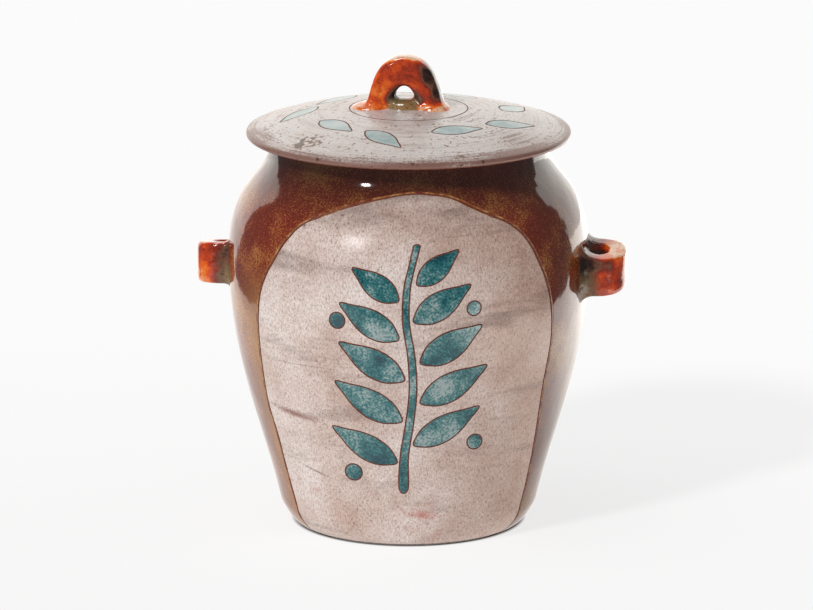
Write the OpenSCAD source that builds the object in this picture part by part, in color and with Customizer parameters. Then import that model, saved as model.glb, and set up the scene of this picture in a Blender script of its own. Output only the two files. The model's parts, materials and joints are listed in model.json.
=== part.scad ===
/* [Jar body] */
// Height from the table to the rim of the jar
jar_h = 240; // [220:1:270]
// Diameter of the foot where it touches the table
foot_d = 135; // [120:1:140]
// Diameter of the wall just above the rounded foot
base_d = 158; // [150:0.5:165]
// Largest diameter of the belly
belly_d = 220.5; // [205:0.5:235]
// Height of the largest diameter
belly_z = 168; // [155:1:175]
// Diameter halfway up the shoulder, where its curve turns hollow
shoulder_d = 198.5; // [190:0.5:200]
// Height of that turn in the shoulder
shoulder_z = 209; // [205:1:214]
// Outside diameter of the neck
neck_d = 170; // [165:0.5:176]
// Thickness of the thrown wall
wall = 6.5; // [5:0.5:8]
// Thickness of the floor above the foot recess
floor_t = 8; // [6:0.5:12]
// Width of the foot ring that stands on the table
foot_ring_w = 10; // [7:0.5:14]
// Depth of the recess inside the foot ring
foot_recess = 2.5; // [1.5:0.5:4]

/* [Lid] */
// Diameter of the lid
lid_d = 198; // [190:1:206]
// Thickness of the rounded lip
lip_t = 4; // [3.5:0.5:6]
// Height of the dome above the lip
dome_h = 13.7; // [10:0.1:18]
// Slope of the dome where it meets the lip
dome_slope = 18.5; // [12:0.5:20]
// Thickness of the lid at its middle
lid_t = 7; // [5:0.5:9]
// Outside diameter of the locating flange under the lid
flange_d = 152; // [148:0.5:154]
// Wall thickness of the flange
flange_t = 5.5; // [4:0.5:7]
// How far the flange reaches into the neck
flange_h = 12; // [8:1:18]
// Gap between the closed lid and the rim
lid_gap = 0.3; // [0.2:0.1:0.5]

/* [Lid handle] */
// Height of the arch above the top of the dome
arch_h = 32; // [28:1:35]
// Distance between the middles of the two feet
arch_span = 32; // [30:1:38]
// How far the arch sits off the middle of the lid
arch_x = -2; // [-4:0.5:4]
// Thickness of the roll at the crown of the arch
crown_t = 18.5; // [15:0.5:20]
// Thickness of the two legs of the arch
leg_t = 15.5; // [13:0.5:17]
// Thickness of the roll from front to back
roll_w = 15; // [13:0.5:18]
// How far each foot spreads on the lid
arch_flare = 4; // [3:0.5:6]

/* [Side handles] */
// Reach of the left handle from the jar's axis
left_reach = 130.5; // [128:0.5:134]
// Height of the middle of the left handle
left_z = 158; // [150:1:166]
// Lean of the left handle about the line that runs out from the jar's axis
left_lean = 9; // [0:1:12]
// How far the left handle's roots spread along the wall beyond the strap
left_flare = 10; // [8:1:22]
// How far the left handle's roots climb above the strap
left_rise = 8; // [4:1:22]
// Reach of the right handle from the jar's axis
right_reach = 134; // [130:0.5:136]
// Height of the middle of the right handle
right_z = 161; // [152:1:168]
// Lean of the right handle about the line that runs out from the jar's axis
right_lean = 1; // [0:1:12]
// How far the right handle's roots spread along the wall beyond the strap
right_flare = 22; // [8:1:24]
// How far the right handle's front root climbs above the strap
right_rise = 21; // [4:1:22]
// Height of the strap
strap_h = 25; // [20:0.5:28]
// Thickness of the strap beside the finger hole
strap_t = 8; // [6:0.5:9]
// Thickness of the strap at its outer bend
bend_t = 10.5; // [8:0.5:12]
// Width of the loop across the outside of the strap
loop_w = 34; // [30:0.5:38]

/* [Hidden] */
$fn = 96;

foot_r = foot_d / 2;
base_r = base_d / 2;
belly_r = belly_d / 2;
shoulder_r = shoulder_d / 2;
neck_r = neck_d / 2;
// Height at which the rounded foot runs into the straight lower wall
base_z = 14;
// Lean of the lower wall from the vertical
wall_lean = 12.5;
// Lean of the shoulder from the vertical where its curve turns hollow
shoulder_lean = 36.5;
// Height at which the neck runs straight up
neck_z = jar_h - 2.5;
// Reach of the curve handles that shape the wall, in order from the foot up
wall_low = 49;
wall_high = 65;
shoulder_low = 17;
shoulder_high = 11.6;
neck_low = 13.8;
neck_high = 12.8;
// Radius of the bend between floor and wall, inside the jar
floor_bend = 18;
// Radius of both edges of the rim
rim_r = 1.8;

// Distance from the axis at which a side handle's roots start, inside the wall
root_x = 98;
// Distance from the axis at which the strap runs straight out
strap_x = 119;
// Steps along a root and along half of the bend
root_n = 9;
bend_n = 9;
// Radius of the strap's long edges
strap_edge = 3.4;
// Climb of the right handle's back root, as a share of its front root
back_share = 0.6;

lid_r = lid_d / 2;
lid_z = jar_h + lid_gap;
lip_r = lip_t / 2;
dome_z = lid_z + lip_t + dome_h;
flange_r = flange_d / 2;

// Point at parameter t on a cubic curve with the control points p
function bezier(p, t) =
    pow(1 - t, 3) * p[0] + 3 * pow(1 - t, 2) * t * p[1]
    + 3 * (1 - t) * t * t * p[2] + t * t * t * p[3];

// The curve as n points, without its first point, so that curves chain
function curve(p, n) = [for (i = [1:n]) bezier(p, i / n)];

// A line of points moved sideways to its left by d
function inset(pts, d) = [
    for (i = [0:len(pts) - 1])
        let (a = pts[max(i - 1, 0)], b = pts[min(i + 1, len(pts) - 1)], u = (b - a) / norm(b - a))
        pts[i] + d * [-u[1], u[0]]
];

// Arc of radius r about the centre c from angle a to angle b
function arc(c, r, a, b, n) = [
    for (i = [0:n]) c + r * [cos(a + (b - a) * i / n), sin(a + (b - a) * i / n)]
];

// Outer wall from the foot up to the neck
foot_curve = [[foot_r, 0], [foot_r + 3.5, 0], [base_r - 3.5, 6], [base_r, base_z]];
wall_curve = [
    [base_r, base_z],
    [base_r, base_z] + wall_low * [sin(wall_lean), cos(wall_lean)],
    [belly_r, belly_z - wall_high],
    [belly_r, belly_z]
];
shoulder_curve = [
    [belly_r, belly_z],
    [belly_r, belly_z + shoulder_low],
    [shoulder_r, shoulder_z] - shoulder_high * [-sin(shoulder_lean), cos(shoulder_lean)],
    [shoulder_r, shoulder_z]
];
neck_curve = [
    [shoulder_r, shoulder_z],
    [shoulder_r, shoulder_z] + neck_low * [-sin(shoulder_lean), cos(shoulder_lean)],
    [neck_r, neck_z - neck_high],
    [neck_r, neck_z]
];
side = concat(
    [[base_r, base_z]],
    curve(wall_curve, 14),
    curve(shoulder_curve, 10),
    curve(neck_curve, 9)
);
outer = concat(
    [[foot_r, 0]],
    curve(foot_curve, 7),
    [for (i = [1:len(side) - 1]) side[i]]
);

// Inner wall from the floor up to the neck, then the rim between the two
inner_side = inset(side, wall);
floor_z = foot_recess + floor_t;
floor_curve = [
    [inner_side[2][0] - floor_bend, floor_z],
    [inner_side[2][0] - floor_bend / 3, floor_z],
    inner_side[2] - floor_bend / 2 * [sin(wall_lean), cos(wall_lean)],
    inner_side[2]
];
inner = concat(
    [[0, floor_z], floor_curve[0]],
    curve(floor_curve, 6),
    [for (i = [3:len(inner_side) - 1]) inner_side[i]]
);
bore_r = neck_r - wall;
rim = concat(
    arc([neck_r - rim_r, jar_h - rim_r], rim_r, 0, 90, 4),
    arc([bore_r + rim_r, jar_h - rim_r], rim_r, 90, 180, 4)
);
foot_in = foot_r - foot_ring_w;
foot_edge = [[0, foot_recess], [foot_in - foot_recess, foot_recess], [foot_in, 0]];

module jar_solid() {
    rotate_extrude() polygon(concat([[0, 0]], outer, [[0, neck_z]]));
}

module jar_body() {
    color("sienna")
        rotate_extrude()
            polygon(concat(foot_edge, outer, rim, [for (i = [len(inner) - 1:-1:0]) inner[i]]));
}

// Rounded rectangle of width w and height h, as 16 points in its own plane
function rounded_box(w, h, r) = [
    for (q = [0:3], i = [0:3])
        let (sx = (q == 0 || q == 3) ? 1 : -1, sz = q < 2 ? 1 : -1, a = 90 * q + 30 * i)
        [sx * (w / 2 - r) + r * cos(a), sz * (h / 2 - r) + r * sin(a)]
];

// Skin over a row of closed rings that all have the same number of points
module loft(rings) {
    m = len(rings[0]);
    n = len(rings);
    points = [for (ring = rings, p = ring) p];
    sides = [
        for (i = [0:n - 2], j = [0:m - 1], half = [0, 1])
            let (a = i * m + j, b = i * m + (j + 1) % m)
            half == 0 ? [a, b, b + m] : [a, b + m, a + m]
    ];
    start = [for (j = [1:m - 2]) [0, j + 1, j]];
    end = [for (j = [1:m - 2]) (n - 1) * m * [1, 1, 1] + [0, j, j + 1]];
    polyhedron(points = points, faces = concat(sides, start, end));
}

// The strap seen from above: half of its outer line and half of its hole,
// from a root inside the wall round to the middle of the bend
function strap_outside(reach, flare) =
    let (hw = loop_w / 2, spread = hw + flare, start = [root_x - 2, spread + 11])
    concat(
        [start],
        curve([start, [root_x + 9, spread - 7], [root_x + 13, hw + 2], [strap_x, hw]], root_n),
        curve([[strap_x, hw], [reach - 5, hw], [reach, hw - 6], [reach, 0]], bend_n)
    );
function strap_inside(reach) =
    let (hw = loop_w / 2 - strap_t, tip = reach - bend_t, start = [root_x, hw + 3], mid_x = strap_x - 7)
    concat(
        [start],
        curve([start, [root_x + 5, hw + 1.5], [root_x + 9, hw], [mid_x, hw]], root_n),
        curve([[mid_x, hw], [strap_x, hw - 0.5], [tip, hw - 5], [tip, 0]], bend_n)
    );

// Upright section number i of the strap, between a point of each line
function strap_ring(p, q, i, root_rise) =
    let (
        w = norm(p - q),
        u = (p - q) / w,
        rise = root_rise * pow(max(0, 1 - i / root_n), 2),
        mid = (p + q) / 2
    ) [
        for (s = rounded_box(w, strap_h + rise, strap_edge + rise / 2))
            [mid[0] + u[0] * s[0], mid[1] + u[1] * s[0], s[1] + rise / 2]
    ];

// One handle that reaches out along +X at the height z; rise holds the climb
// of its root on the +Y side and on the -Y side
module lug(reach, z, lean, flare, rise) {
    out = strap_outside(reach, flare);
    hole = strap_inside(reach);
    n = len(out) - 1;
    right_half = [for (i = [0:n]) strap_ring(out[i], hole[i], i, rise[0])];
    left_half = [
        for (i = [n - 1:-1:0])
            strap_ring([out[i][0], -out[i][1]], [hole[i][0], -hole[i][1]], i, rise[1])
    ];
    difference() {
        translate([0, 0, z]) rotate([lean, 0, 0]) loft(concat(right_half, left_half));
        jar_solid();
    }
}

module left_handle() {
    color("orangered") rotate([0, 0, 180])
        lug(left_reach, left_z, left_lean, left_flare, [left_rise, left_rise]);
}

module right_handle() {
    color("orangered")
        lug(right_reach, right_z, right_lean, right_flare, [back_share * right_rise, right_rise]);
}

// Lid in section: dome outside, rounded lip, flat seat, hollow middle
lip_c = [lid_r - lip_r, lid_z + lip_r];
lip_end = lip_c + lip_r * [sin(dome_slope), cos(dome_slope)];
dome_curve = [
    lip_end,
    lip_end + 0.37 * lid_r * [-cos(dome_slope), sin(dome_slope)],
    [0.4 * lid_r, dome_z],
    [0, dome_z]
];
hollow_r = flange_r - flange_t;
hollow_z = dome_z - lid_t;
hollow_curve = [
    [0, hollow_z],
    [0.5 * hollow_r, hollow_z],
    [0.7 * hollow_r, (lid_z + hollow_z) / 2],
    [hollow_r, lid_z]
];

module lid_plate() {
    color("gainsboro")
        rotate_extrude()
            polygon(concat(
                [[0, hollow_z]],
                curve(hollow_curve, 10),
                arc(lip_c, lip_r, -90, 90 - dome_slope, 9),
                curve(dome_curve, 16)
            ));
}

module lid_solid() {
    rotate_extrude()
        polygon(concat([[0, lid_z], lip_end], curve(dome_curve, 16)));
}

// The flange ends in two rounded edges
flange_edge = 1.8;
flange_z = lid_z - flange_h + flange_edge;

module lid_flange() {
    color("tan")
        rotate_extrude()
            polygon(concat(
                [[flange_r, lid_z], [hollow_r, lid_z]],
                arc([hollow_r + flange_edge, flange_z], flange_edge, 180, 270, 4),
                arc([flange_r - flange_edge, flange_z], flange_edge, 270, 360, 4)
            ));
}

// Half of the arch's middle line in the X and Z plane, from a foot inside the lid to the crown
crown_z = dome_z + arch_h - crown_t / 2;
arch_n = 16;
arch_start = [-arch_span / 2 - 0.5, dome_z - 5];
arch_half = concat(
    [arch_start],
    curve([arch_start, arch_start + [2, 15], [-arch_span * 0.34, crown_z], [0, crown_z]], arch_n)
);
arch_line = concat(arch_half, [for (i = [arch_n - 1:-1:0]) [-arch_half[i][0], arch_half[i][1]]]);

// Spread of the roll at the height z, growing towards the lid
function foot_spread(z) = arch_flare * pow(max(0, 1 - (z - dome_z + 3) / 8), 2);

// Thickness of the roll at the height z, growing towards the crown
function roll_t(z) = let (k = max(0, min(1, (z - dome_z - 12) / 10))) leg_t + (crown_t - leg_t) * k;

module lid_handle() {
    last = len(arch_line) - 1;
    rings = [
        for (i = [0:last])
            let (
                c = arch_line[i],
                d = arch_line[min(i + 1, last)] - arch_line[max(i - 1, 0)],
                u = d / norm(d),
                s = foot_spread(c[1])
            ) [
                for (a = [0:22.5:337.5])
                    let (x = (roll_t(c[1]) / 2 + s) * cos(a), y = (roll_w / 2 + s) * sin(a))
                    [c[0] + u[1] * x, y, c[1] - u[0] * x]
            ]
    ];
    color("orangered") difference() {
        translate([arch_x, 0, 0]) loft(rings);
        lid_solid();
    }
}

jar_body();
left_handle();
right_handle();
lid_plate();
lid_flange();
lid_handle();
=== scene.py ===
import json
import math

import bpy
import numpy as np
from mathutils import Matrix, Vector

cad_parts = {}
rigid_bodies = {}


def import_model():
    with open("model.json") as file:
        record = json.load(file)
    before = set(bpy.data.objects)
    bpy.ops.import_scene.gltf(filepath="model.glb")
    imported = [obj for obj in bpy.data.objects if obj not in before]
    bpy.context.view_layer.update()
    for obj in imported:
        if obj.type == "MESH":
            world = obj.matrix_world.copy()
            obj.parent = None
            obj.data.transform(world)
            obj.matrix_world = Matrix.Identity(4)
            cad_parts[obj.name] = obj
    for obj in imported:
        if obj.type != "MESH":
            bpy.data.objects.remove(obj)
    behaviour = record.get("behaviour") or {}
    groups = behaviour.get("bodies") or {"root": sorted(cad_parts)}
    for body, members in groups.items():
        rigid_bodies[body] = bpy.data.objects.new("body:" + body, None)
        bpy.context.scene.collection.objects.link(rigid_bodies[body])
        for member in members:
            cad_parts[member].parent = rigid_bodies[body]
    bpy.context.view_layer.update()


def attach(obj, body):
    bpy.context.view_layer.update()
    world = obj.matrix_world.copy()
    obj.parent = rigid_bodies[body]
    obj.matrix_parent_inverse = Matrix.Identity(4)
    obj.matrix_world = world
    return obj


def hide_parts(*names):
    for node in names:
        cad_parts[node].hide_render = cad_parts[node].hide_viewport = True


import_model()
bpy.context.scene.view_settings.view_transform = "Standard"
bpy.ops.object.select_all(action="DESELECT")


# ---------------------------------------------------------------- jar
# The jar is one thrown pot of red earthenware with a hollow inside, a trimmed
# foot ring and a plain rim. Its outline was drawn into the leather-hard wall
# with a pointed tool before the slip and the glazes went on.
def mm(*values):
    """Millimetres to metres, one number or a point."""
    return Vector(v / 1000 for v in values) if len(values) > 1 else values[0] / 1000


def bezier(p, n):
    """The cubic curve with the control points p as n points, without its first."""
    out = []
    for i in range(1, n + 1):
        t = i / n
        k = ((1 - t) ** 3, 3 * (1 - t) ** 2 * t, 3 * (1 - t) * t * t, t ** 3)
        out.append((sum(k[j] * p[j][0] for j in range(4)), sum(k[j] * p[j][1] for j in range(4))))
    return out


def lean(p, length, angle):
    """The point at that distance from p, along a line that leans from the vertical."""
    a = math.radians(angle)
    return (p[0] + length * math.sin(a), p[1] + length * math.cos(a))


def arc(centre, radius, start, end, n):
    """A quarter or any other part of a circle in section, from angle to angle."""
    angles = [math.radians(start + (end - start) * i / n) for i in range(n + 1)]
    return [(centre[0] + radius * math.cos(a), centre[1] + radius * math.sin(a)) for a in angles]


def throw(name, section, turns=256):
    """A round piece: its section is drawn point by point in edit mode and spun about the axis."""
    r, z = section[0]
    bpy.ops.mesh.primitive_plane_add(size=0.002, location=mm(r, 0, z))
    piece = bpy.context.active_object
    piece.name = piece.data.name = name
    bpy.ops.object.transform_apply(location=True)
    bpy.ops.object.mode_set(mode="EDIT")
    bpy.ops.mesh.select_mode(type="VERT")
    bpy.ops.mesh.merge(type="CENTER")
    for a, b in zip(section, section[1:]):
        step = mm(b[0] - a[0], 0, b[1] - a[1])
        bpy.ops.mesh.extrude_vertices_move(TRANSFORM_OT_translate={"value": step})
    bpy.ops.mesh.select_all(action="SELECT")
    bpy.ops.mesh.spin(steps=turns, angle=2 * math.pi, center=(0, 0, 0), axis=(0, 0, 1))
    bpy.ops.mesh.select_all(action="SELECT")
    bpy.ops.mesh.remove_doubles(threshold=1e-6)
    bpy.ops.mesh.normals_make_consistent(inside=False)
    bpy.ops.object.mode_set(mode="OBJECT")
    return piece


def apply_modifiers(piece):
    """Applies the piece's modifiers in order."""
    bpy.ops.object.select_all(action="DESELECT")
    piece.select_set(True)
    bpy.context.view_layer.objects.active = piece
    for modifier in list(piece.modifiers):
        bpy.ops.object.modifier_apply(modifier=modifier.name)


# Radius and height, in millimetres, where the outside changes its curve.
FOOT, BASE, BELLY, SHOULDER, NECK = (67.5, 0), (79, 14), (110.25, 168), (99.25, 209), (85, 237.5)
RIM_Z, WALL, FLOOR_Z, FLOOR_BEND, RIM_R = 240, 6.5, 10.5, 18, 1.8
WALL_LEAN, SHOULDER_LEAN = 12.5, -36.5
INSIDE_FROM, RECESS, RING_IN, RING_OUT = 37, 2.5, 57.5, 62.5

side = [BASE]
side += bezier([BASE, lean(BASE, 49, WALL_LEAN), (BELLY[0], 103), BELLY], 44)
side += bezier([BELLY, (BELLY[0], 185), lean(SHOULDER, -11.6, SHOULDER_LEAN), SHOULDER], 15)
side += bezier([SHOULDER, lean(SHOULDER, 13.8, SHOULDER_LEAN), (NECK[0], 224.7), NECK], 12)
foot = [FOOT] + bezier([FOOT, (71, 0), (75.5, 6), BASE], 10)
outside = foot + side[1:]

inside = []
for i, p in enumerate(side):
    a, b = side[max(i - 1, 0)], side[min(i + 1, len(side) - 1)]
    run = math.hypot(b[0] - a[0], b[1] - a[1])
    inside.append((p[0] - WALL * (b[1] - a[1]) / run, p[1] + WALL * (b[0] - a[0]) / run))
inside = [p for p in inside if p[1] > INSIDE_FROM][::2] + [inside[-1]]
low = inside[0]
floor = bezier([(low[0] - FLOOR_BEND, FLOOR_Z), (low[0] - 6, FLOOR_Z), lean(low, -9, WALL_LEAN), low], 8)
rim = arc((NECK[0] - RIM_R, RIM_Z - RIM_R), RIM_R, 0, 90, 4)
rim += arc((NECK[0] - WALL + RIM_R, RIM_Z - RIM_R), RIM_R, 90, 180, 4)
recess = [(r, RECESS) for r in (0, 20, 40, RING_IN - RECESS)] + [(RING_IN, 0), (RING_OUT, 0)]
section = recess + outside + rim + inside[::-1] + floor[-2::-1] + [(low[0] - 35, FLOOR_Z), (0, FLOOR_Z)]

jar = throw("jar", section)


def wall_radius(z):
    """Outside radius of the jar at a height, in millimetres."""
    return float(np.interp(z, [p[1] for p in outside], [p[0] for p in outside]))


def on_wall(azimuth, z):
    """The point of the jar's outside at an angle from the front and a height."""
    a, r = math.radians(azimuth), wall_radius(z)
    return mm(r * math.sin(a), -r * math.cos(a), z)


def flow(points, closed=True, step=3):
    """A hand-drawn line through the points of a flat drawing, with a point about every step."""
    n, out = len(points), []
    for i in range(n if closed else n - 1):
        near = [(i + k) % n if closed else min(max(i + k, 0), n - 1) for k in (-1, 0, 1, 2)]
        a, b, c, d = (points[k] for k in near)
        count = max(1, round(math.dist(b, c) / step))
        for j in range(count):
            t = j / count
            out.append(tuple((2 * q + (r - p) * t + (2 * p - 5 * q + 4 * r - s) * t * t
                              + (3 * q - p - 3 * r + s) * t ** 3) / 2 for p, q, r, s in zip(a, b, c, d)))
    return out if closed else out + [points[-1]]


def scribe(points, width, closed=True):
    """The clay that a pointed tool lifts out as it is drawn along the points."""
    bpy.ops.curve.primitive_bezier_circle_add()
    line = bpy.context.active_object
    shape = line.data
    shape.splines.clear()
    spline = shape.splines.new("BEZIER")
    spline.bezier_points.add(len(points) - 1)
    for knot, p in zip(spline.bezier_points, points):
        knot.co = p
        knot.handle_left_type = knot.handle_right_type = "AUTO"
    spline.use_cyclic_u = closed
    shape.resolution_u = 4
    shape.bevel_depth = mm(width / 2)
    shape.bevel_resolution = 1
    shape.use_fill_caps = not closed
    bpy.ops.object.convert(target="MESH")
    return bpy.context.active_object


def carve(piece, lines, clay):
    """Cuts the drawn lines out of the piece; what they bare takes the material clay."""
    bpy.ops.object.select_all(action="DESELECT")
    for line in lines:
        line.select_set(True)
    bpy.context.view_layer.objects.active = lines[0]
    bpy.ops.object.join()
    tool = bpy.context.active_object
    bpy.ops.object.mode_set(mode="EDIT")
    bpy.ops.mesh.select_all(action="SELECT")
    bpy.ops.mesh.remove_doubles(threshold=mm(0.002))
    bpy.ops.mesh.normals_make_consistent(inside=False)
    bpy.ops.object.mode_set(mode="OBJECT")
    tool.data.materials.clear()
    tool.data.materials.append(clay)
    cut = piece.modifiers.new("carved lines", "BOOLEAN")
    cut.operation, cut.object = "DIFFERENCE", tool
    cut.solver, cut.material_mode = "MANIFOLD", "TRANSFER"
    apply_modifiers(piece)
    bpy.data.objects.remove(tool)


def finish_patch(piece, seed, material):
    """Gives the patch of surface round a point, as far as the drawn lines, its own material."""
    mesh = piece.data
    if material.name not in mesh.materials:
        mesh.materials.append(material)
    bared = mesh.materials.find("bare_red_earthenware")
    centres = np.empty(len(mesh.polygons) * 3)
    mesh.polygons.foreach_get("center", centres)
    slots = np.empty(len(mesh.polygons), int)
    mesh.polygons.foreach_get("material_index", slots)
    far = np.linalg.norm(centres.reshape(-1, 3) - np.array(seed), axis=1) + (slots == bared)
    bpy.ops.object.mode_set(mode="EDIT")
    bpy.ops.mesh.select_mode(type="FACE")
    bpy.ops.mesh.select_all(action="DESELECT")
    bpy.ops.object.mode_set(mode="OBJECT")
    mesh.polygons[int(far.argmin())].select = True
    bpy.ops.object.mode_set(mode="EDIT")
    bpy.ops.mesh.select_linked(delimit={"MATERIAL"})
    piece.active_material_index = mesh.materials.find(material.name)
    bpy.ops.object.material_slot_assign()
    bpy.ops.object.mode_set(mode="OBJECT")


def linear(colour):
    """An sRGB hex colour as linear RGBA."""
    parts = [int(colour[i:i + 2], 16) / 255 for i in (1, 3, 5)]
    return tuple(c / 12.92 if c <= 0.04045 else ((c + 0.055) / 1.055) ** 2.4 for c in parts) + (1,)


def put(material, kind, inputs=(), stops=None, **settings):
    """Adds a node: its options, its colour stops, and a value or a link for each named input."""
    node = material.node_tree.nodes.new("ShaderNode" + kind)
    for name, value in settings.items():
        setattr(node, name, value)
    for name, value in dict(inputs).items():
        if isinstance(value, bpy.types.NodeSocket):
            material.node_tree.links.new(value, node.inputs[name])
        else:
            node.inputs[name].default_value = linear(value) if isinstance(value, str) else value
    if stops:
        ramp = node.color_ramp.elements
        while len(ramp) < len(stops):
            ramp.new(0.5)
        for spot, (place, colour) in zip(ramp, stops):
            spot.position, spot.color = place, linear(colour)
    return node


def new_material(name):
    """An empty node material with its output and its shader."""
    material = bpy.data.materials.new(name)
    material.use_nodes = True
    return material, material.node_tree.nodes["Principled BSDF"]


def surface(material, shader, colour, roughness, ior=1.5, relief=None, strength=0, depth=0):
    """Gives the shader its colour and gloss, and a relief of that depth in metres."""
    material.node_tree.links.new(colour, shader.inputs["Base Color"])
    shader.inputs["Roughness"].default_value = roughness
    shader.inputs["IOR"].default_value = ior
    if relief:
        bump = put(material, "Bump", {"Height": relief, "Strength": strength, "Distance": depth})
        material.node_tree.links.new(bump.outputs["Normal"], shader.inputs["Normal"])


def angle_and_height(material, place):
    """The angle round the axis in radians, 0 at the front and rising to the right, and the height."""
    part = put(material, "SeparateXYZ", {"Vector": place}).outputs
    front = put(material, "Math", {0: part["Y"], 1: -1.0}, operation="MULTIPLY")
    turned = put(material, "Math", {0: part["X"], 1: front.outputs[0]}, operation="ARCTAN2")
    return turned.outputs[0], part["Z"]


# Red earthenware where the tool bared it, and where the lid stays unglazed: matt and
# iron red, with lighter grit 1 mm wide.
bare_clay, shader = new_material("bare_red_earthenware")
place = put(bare_clay, "TexCoord").outputs["Object"]
grit = put(bare_clay, "TexNoise", {"Vector": place, "Scale": 900, "Detail": 3})
tone = put(bare_clay, "ValToRGB", {"Fac": grit.outputs["Fac"]},
           stops=[(0.35, "#5a281b"), (0.7, "#93523b")])
surface(bare_clay, shader, tone.outputs["Color"], roughness=0.55)

# Iron glaze over red clay, poured and fired to a high gloss: red-brown, with ochre
# crystals in drifts of 10 to 30 mm. It ran thin and ochre down the left of the white field.
# Under the neck it is painted nearly black as shade from the lid, and the right side is
# painted darker and browner as shade away from the lamp.
# The crystals are drawn 1 mm wide, coarser than real, so that they show.
iron_glaze, shader = new_material("poured_iron_glaze")
place = put(iron_glaze, "TexCoord").outputs["Object"]
drift = put(iron_glaze, "TexNoise", {"Vector": place, "Scale": 30, "Detail": 3, "Roughness": 0.55})
crystal = put(iron_glaze, "TexNoise", {"Vector": place, "Scale": 1050, "Detail": 1.5, "Roughness": 0.6})
turned, height = angle_and_height(iron_glaze, place)
spread = put(iron_glaze, "MapRange", {"Value": drift.outputs["Fac"], "From Min": 0.4, "From Max": 0.66,
                                      "To Min": -0.14, "To Max": 0.16})
amount = put(iron_glaze, "Math", {0: crystal.outputs["Fac"], 1: spread.outputs["Result"]}, operation="ADD")
tone = put(iron_glaze, "ValToRGB", {"Fac": amount.outputs[0]},
           stops=[(0.3, "#662317"), (0.45, "#7a2d1c"), (0.53, "#8c4426"), (0.61, "#9f6030"),
                  (0.74, "#b07c48")])
# Painted shade: nearly black towards the top of the neck, where the lid's shadow falls.
neck = put(iron_glaze, "MapRange", {"Value": height, "From Min": 0.204, "From Max": 0.228,
                                    "To Max": 0.78})
lid_shaded = put(iron_glaze, "Mix", {0: neck.outputs["Result"], 6: tone.outputs["Color"], 7: "#1c0b08"},
               data_type="RGBA")
thin = put(iron_glaze, "MapRange", {"Value": turned, "From Min": -1.1, "From Max": -0.86, "To Max": 0.6})
left = put(iron_glaze, "Math", {0: turned, 1: 0.0}, operation="LESS_THAN")
thin = put(iron_glaze, "Math", {0: thin.outputs["Result"], 1: left.outputs[0]}, operation="MULTIPLY")
low = put(iron_glaze, "MapRange", {"Value": height, "From Min": 0.175, "From Max": 0.135})
thin = put(iron_glaze, "Math", {0: thin.outputs[0], 1: low.outputs["Result"]}, operation="MULTIPLY")
thinned = put(iron_glaze, "Mix", {0: thin.outputs[0], 6: lid_shaded.outputs[2], 7: "#b98d55"},
              data_type="RGBA")
# Painted shade: darker and browner round the right side, away from the lamp, fading out behind.
right = put(iron_glaze, "MapRange", {"Value": turned, "From Min": 0.8, "From Max": 1.2})
behind = put(iron_glaze, "MapRange", {"Value": turned, "From Min": 2.7, "From Max": 1.6})
thick = put(iron_glaze, "Math", {0: right.outputs["Result"], 1: behind.outputs["Result"]},
            operation="MULTIPLY")
right_shaded = put(iron_glaze, "Mix", {0: thick.outputs[0], 6: thinned.outputs[2], 7: "#d2dac8"},
              data_type="RGBA", blend_type="MULTIPLY")
swell = put(iron_glaze, "TexNoise", {"Vector": place, "Scale": 45, "Detail": 2, "Roughness": 0.6})
surface(iron_glaze, shader, right_shaded.outputs[2], roughness=0.08, relief=swell.outputs["Fac"],
        strength=0.35, depth=0.0012)

# White slip brushed on the clay under a thin satin glaze: greyish pink where the
# clay shows through, with upright brush grain 1 mm wide, a few long level wipes of
# grey, and fine pits. It reddens in patches near the foot. Towards the right it is painted
# darker and warmer: painted shade, away from the lamp.
MARKS = [  # along the wall and up, half length and half width in metres, tilt, strength, colour
    (-0.0704, 0.0833, 0.029, 0.003, -0.09, 0.9, "#855345"),
    (-0.06, 0.117, 0.036, 0.0007, 0.02, 0.45, "#6f5a52"),
    (-0.061, 0.0464, 0.019, 0.0011, -0.2, 0.7, "#76513f"),
    (0.026, 0.0225, 0.016, 0.004, -0.1, 0.6, "#b4553f"),
    (-0.03, 0.211, 0.002, 0.001, 0.3, 0.9, "#4a352b"),
    (-0.056, 0.203, 0.0014, 0.0011, 0, 0.9, "#4a352b")]
white_slip, shader = new_material("brushed_white_slip")
place = put(white_slip, "TexCoord").outputs["Object"]
turned, height = angle_and_height(white_slip, place)
along = put(white_slip, "Math", {0: turned, 1: 0.11}, operation="MULTIPLY")
unrolled = put(white_slip, "CombineXYZ", {"X": along.outputs[0], "Y": height})
upright = put(white_slip, "Mapping", {"Vector": unrolled.outputs[0], "Scale": (1000, 380, 1)})
hairs = put(white_slip, "TexNoise", {"Vector": upright.outputs[0], "Scale": 1.0, "Detail": 2})
level = put(white_slip, "Mapping", {"Vector": unrolled.outputs[0], "Scale": (7, 46, 1),
                                    "Rotation": (0, 0, 0.14)})
wipes = put(white_slip, "TexNoise", {"Vector": level.outputs[0], "Scale": 1.0, "Detail": 6, "Roughness": 0.62,
                                     "Distortion": 0.4})
cloud = put(white_slip, "TexNoise", {"Vector": place, "Scale": 24, "Detail": 5, "Roughness": 0.65})
grit = put(white_slip, "TexNoise", {"Vector": place, "Scale": 820, "Detail": 3, "Roughness": 0.8})
base = put(white_slip, "ValToRGB", {"Fac": cloud.outputs["Fac"]},
           stops=[(0.3, "#c8aca0"), (0.5, "#e0cdc4"), (0.7, "#f0e5e0")])
grain = put(white_slip, "ValToRGB", {"Fac": hairs.outputs["Fac"]},
            stops=[(0.33, "#c2a99c"), (0.62, "#ffffff")])
woven = put(white_slip, "Mix", {0: 0.5, 6: base.outputs["Color"], 7: grain.outputs["Color"]},
            data_type="RGBA", blend_type="MULTIPLY")
smear = put(white_slip, "ValToRGB", {"Fac": wipes.outputs["Fac"]},
            stops=[(0.54, "#ffffff"), (0.66, "#938781")])
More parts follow.
